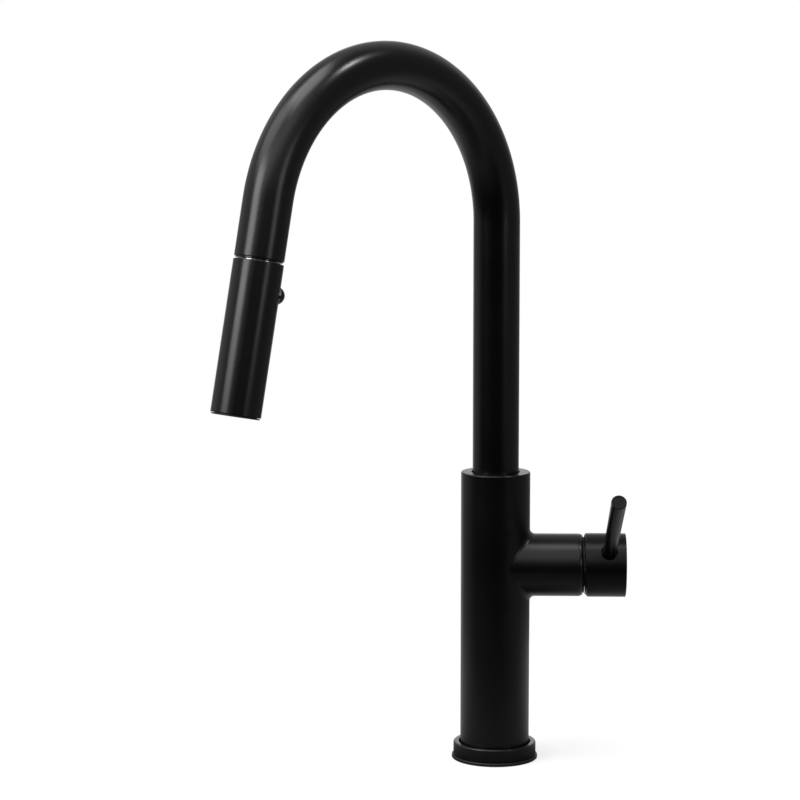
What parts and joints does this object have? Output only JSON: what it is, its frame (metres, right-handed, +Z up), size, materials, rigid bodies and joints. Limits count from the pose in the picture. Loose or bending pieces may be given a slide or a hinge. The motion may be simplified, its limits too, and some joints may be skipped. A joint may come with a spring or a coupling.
{
  "type": "pull-down gooseneck faucet",
  "caption": "Deck-mounted single-lever kitchen faucet with a gooseneck spout and a pull-down spray head with a spray button.",
  "frame": {"origin": "where the column's axis meets the deck that the faucet stands on", "axes": "+Z up along the column, +X out along the side branch to the handle, -Y to the person using it; the spout rests 46.5 degrees from -X towards -Y"},
  "size_m": [0.2368, 0.1917, 0.4351],
  "materials": {
    "matte_black": "matte black powder coat with a soft sheen",
    "column_black": "matte black powder coat, a little duller",
    "handle_black": "matte black powder coat with little sheen",
    "polished_trim": "polished",
    "steel": "machined",
    "brass": "machined and cast",
    "magnet": "ground",
    "ceramic": "lapped",
    "pale_plastic": "moulded",
    "black_plastic": "fine moulded texture",
    "gloss_black_plastic": "semi-gloss moulded",
    "gasket_rubber": "moulded",
    "seal_rubber": "moulded",
    "nozzle_rubber": "soft silicone",
    "braided_hose": "braided nylon sleeve"
  },
  "bodies": {
    "base": {"base_gasket": "gasket_rubber", "base_ring": "matte_black", "body_shell": "column_black", "base_manifold": "brass", "manifold_screw_back": "steel", "manifold_screw_front": "steel", "hot_pipe": "brass", "cold_pipe": "brass", "outlet_pipe": "brass", "valve_body": "brass", "bush_circlip": "steel", "lower_bush": "pale_plastic", "swivel_sleeve": "brass", "upper_bush": "pale_plastic", "spout_retaining_screw": "steel", "cartridge_seal": "seal_rubber", "cartridge_base": "pale_plastic", "fixed_disc": "ceramic", "cartridge_housing": "pale_plastic", "retaining_nut": "brass", "bonnet_ring": "black_plastic"},
    "rotor": {"cartridge_rotor": "black_plastic", "pivot_pin": "steel"},
    "disc": {"moving_disc": "ceramic", "disc_carrier": "black_plastic"},
    "handle": {"cartridge_stem": "brass", "handle_hub": "handle_black", "lever_rod": "handle_black", "hub_grub_screw": "steel", "hub_screw_plug": "black_plastic"},
    "spout": {"spout_tube": "matte_black", "spout_spigot": "brass", "friction_ring": "seal_rubber", "dock_magnet": "magnet", "dock_socket": "gloss_black_plastic", "pull_out_hose": "braided_hose"},
    "hose_end": {"hose_ferrule": "steel", "hose_swivel_nut": "brass", "check_valve": "pale_plastic"},
    "head": {"inlet_collar": "polished_trim", "dock_keeper_ring": "steel", "inlet_washer": "seal_rubber", "head_shell": "matte_black", "diverter_body": "pale_plastic", "aerator_housing": "pale_plastic", "aerator_screen": "steel", "nozzle_plate": "nozzle_rubber", "face_ring": "black_plastic", "button_rim": "polished_trim", "button_spring": "steel"},
    "button": {"push_button": "gloss_black_plastic", "diverter_spool": "pale_plastic"}
  },
  "joints": [
    {"name": "spout_swivel", "type": "hinge", "parent": "base", "child": "spout", "pos_m": [0, 0, 0.16], "axis": [0, 0, 1], "continuous": true},
    {"name": "head_pull", "type": "slide", "parent": "spout", "child": "hose_end", "axis": [-0.1431, -0.1508, -0.9781], "range_m": [0, 0.2]},
    {"name": "head_spin", "type": "hinge", "parent": "hose_end", "child": "head", "pos_m": [-0.12677, -0.13359, 0.34736], "axis": [-0.1431, -0.1508, -0.9781], "continuous": true},
    {"name": "button_press", "type": "slide", "parent": "head", "child": "button", "axis": [-0.9531, -0.2453, 0.1773], "range_m": [0, 0.002], "stiffness_N_per_m": 900, "springref_m": -0.0025, "deforming": ["button_spring"]},
    {"name": "handle_turn", "type": "hinge", "parent": "base", "child": "rotor", "pos_m": [0.038, 0, 0.1198], "axis": [-1, 0, 0], "range_deg": [-34, 56]},
    {"name": "handle_lift", "type": "hinge", "parent": "rotor", "child": "handle", "pos_m": [0.038, 0, 0.1198], "axis": [0, 0.5592, 0.829], "range_deg": [0, 20]},
    {"name": "disc_slide", "type": "slide", "parent": "rotor", "child": "disc", "axis": [0, -0.829, 0.5592], "range_m": [0, 0.00205]}
  ],
  "couplings": [
    {"joint": "disc_slide", "follows": "handle_lift", "m_per_rad": 0.0058}
  ]
}
